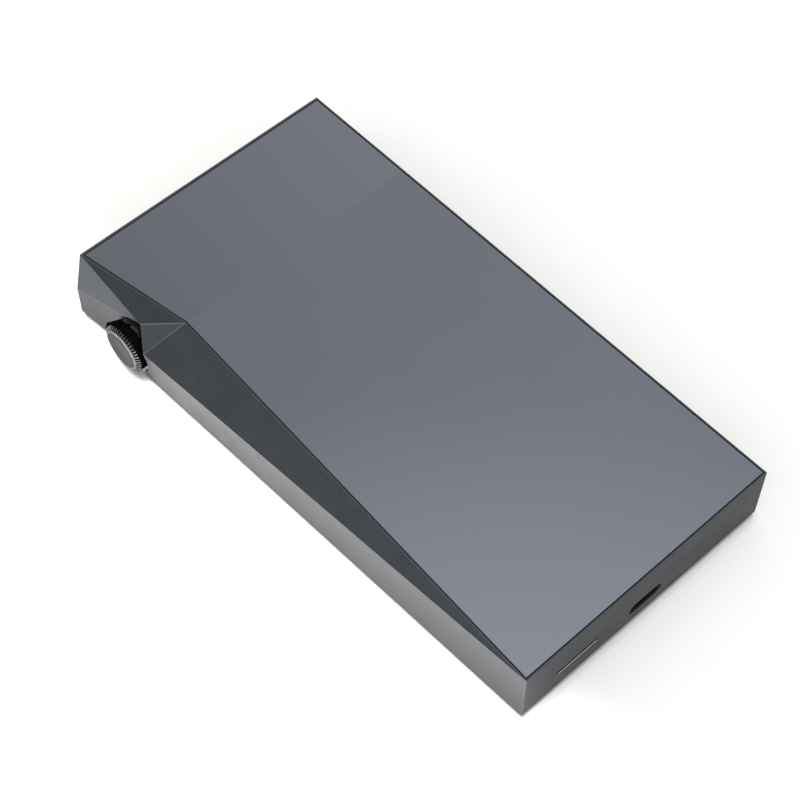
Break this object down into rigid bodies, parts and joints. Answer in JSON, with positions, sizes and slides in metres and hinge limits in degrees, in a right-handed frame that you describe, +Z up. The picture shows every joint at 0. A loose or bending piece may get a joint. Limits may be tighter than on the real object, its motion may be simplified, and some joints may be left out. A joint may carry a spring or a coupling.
{
  "type": "digital audio player",
  "caption": "Pocket digital audio player with a faceted dark aluminium case, smoked mirror back glass, knurled volume wheel, side keys, headphone sockets and a charging port.",
  "frame": {"origin": "on the table, under the middle of the whole player's bounding box, with the player lying on its screen", "axes": "+Y towards the end with the headphone sockets and power key, +Z up out of the back glass, -X towards the volume wheel, +X towards the transport keys"},
  "size_m": [0.0764, 0.141, 0.0175],
  "materials": {
    "housing_aluminium": "fine blasted, dark grey anodised, polished facet edges",
    "rear_glass": "smoke grey mirror coat under clear glass",
    "front_glass": "clear cover glass with a black border behind it",
    "display_panel": "unlit display, polished",
    "wheel_aluminium": "knurled, black anodised",
    "wheel_face": "turned, dark grey anodised",
    "key_aluminium": "fine blasted, dark grey anodised",
    "light_diffuser": "smoked, dark until lit",
    "steel": "stamped, passivated",
    "dark_steel": "stamped, black nickel plated",
    "gilt_brass": "turned, gilt",
    "black_plastic": "moulded, fine grain",
    "adhesive_film": "black adhesive foam tape",
    "circuit_board": "green solder mask over woven glass laminate",
    "shield_steel": "tin plated, drawn",
    "battery_foil": "matt wrapped pouch",
    "foam": "closed cell foam",
    "flex_film": "amber film with copper tracks"
  },
  "bodies": {
    "case": {"antenna": "flex_film", "audio_board": "circuit_board", "audio_shield": "shield_steel", "battery": "battery_foil", "battery_circuit": "circuit_board", "battery_pad": "foam", "bracket_screw_1": "steel", "bracket_screw_2": "steel", "bracket_screw_3": "steel", "bracket_screw_4": "steel", "card_socket": "steel", "display_bracket": "steel", "display_flex": "flex_film", "display_panel": "display_panel", "front_gasket": "adhesive_film", "front_glass": "front_glass", "jack_2_5_ring": "gilt_brass", "jack_2_5_socket": "black_plastic", "jack_3_5_ring": "gilt_brass", "jack_3_5_socket": "black_plastic", "jack_4_4_ring": "gilt_brass", "jack_4_4_socket": "black_plastic", "link_flex": "flex_film", "low_board": "circuit_board", "low_board_screw_1": "steel", "low_board_screw_2": "steel", "main_board": "circuit_board", "main_board_screw_1": "steel", "main_board_screw_2": "steel", "main_housing": "housing_aluminium", "memory_shield": "shield_steel", "next_switch": "black_plastic", "play_switch": "black_plastic", "power_key_board": "circuit_board", "power_switch": "black_plastic", "previous_switch": "black_plastic", "processor_shield": "shield_steel", "rear_glass": "rear_glass", "rear_glass_film": "adhesive_film", "side_key_board": "circuit_board", "thermal_pad": "foam", "usb_saddle": "steel", "usb_shell": "dark_steel", "usb_tongue": "black_plastic", "wheel_bushing": "black_plastic", "wheel_encoder": "black_plastic", "wheel_light_ring": "light_diffuser"},
    "wheel": {"volume_wheel": "wheel_aluminium", "wheel_cap": "wheel_face", "wheel_shaft": "steel"},
    "previous_key": {"previous_button": "key_aluminium"},
    "play_key": {"play_button": "key_aluminium"},
    "next_key": {"next_button": "key_aluminium"},
    "power_key": {"power_button": "key_aluminium"}
  },
  "joints": [
    {"name": "volume_wheel_turn", "type": "hinge", "parent": "case", "child": "wheel", "pos_m": [-0.0364, 0.0492, 0.00875], "axis": [-1, 0, 0], "continuous": true},
    {"name": "previous_key_press", "type": "slide", "parent": "case", "child": "previous_key", "axis": [-1, 0, 0], "range_m": [0, 0.00035], "stiffness_N_per_m": 1500, "springref_m": -0.0003},
    {"name": "play_key_press", "type": "slide", "parent": "case", "child": "play_key", "axis": [-1, 0, 0], "range_m": [0, 0.00035], "stiffness_N_per_m": 1500, "springref_m": -0.0003},
    {"name": "next_key_press", "type": "slide", "parent": "case", "child": "next_key", "axis": [-1, 0, 0], "range_m": [0, 0.00035], "stiffness_N_per_m": 1500, "springref_m": -0.0003},
    {"name": "power_key_press", "type": "slide", "parent": "case", "child": "power_key", "axis": [0, -1, 0], "range_m": [0, 0.00035], "stiffness_N_per_m": 1500, "springref_m": -0.0003}
  ]
}
